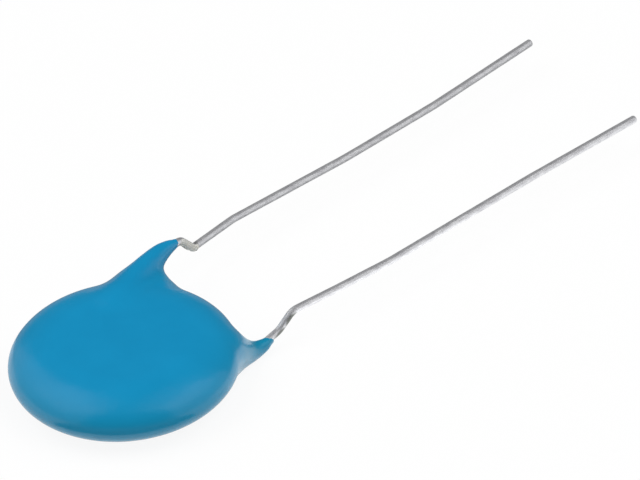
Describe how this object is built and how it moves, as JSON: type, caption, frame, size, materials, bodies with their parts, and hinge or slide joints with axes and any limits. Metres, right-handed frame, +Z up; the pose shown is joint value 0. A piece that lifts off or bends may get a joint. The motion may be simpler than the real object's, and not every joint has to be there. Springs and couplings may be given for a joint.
{
  "type": "ceramic disc capacitor",
  "caption": "Blue epoxy-dipped ceramic disc capacitor with kinked bare wire leads that leave the disc on one side, for through-hole mounting.",
  "frame": {"origin": "on the axis of the disc, on the flat of its lower face, on which it lies", "axes": "+X along the leads from the disc to their cut ends, +Y from the lower lead to the upper lead, +Z up through the disc"},
  "size_m": [0.052, 0.0162, 0.0045],
  "materials": {
    "blue_epoxy": "semi-gloss dipped epoxy",
    "tinned_wire": "bright drawn tinned wire",
    "ceramic_body": "matt fired ceramic",
    "fired_silver": "matt fired silver",
    "solder": "satin solder"
  },
  "bodies": {
    "root": {"epoxy_coating": "blue_epoxy", "ceramic_disc": "ceramic_body", "upper_electrode": "fired_silver", "lower_electrode": "fired_silver", "upper_solder": "solder", "lower_solder": "solder", "upper_lead": "tinned_wire", "lower_lead": "tinned_wire"}
  },
  "joints": []
}
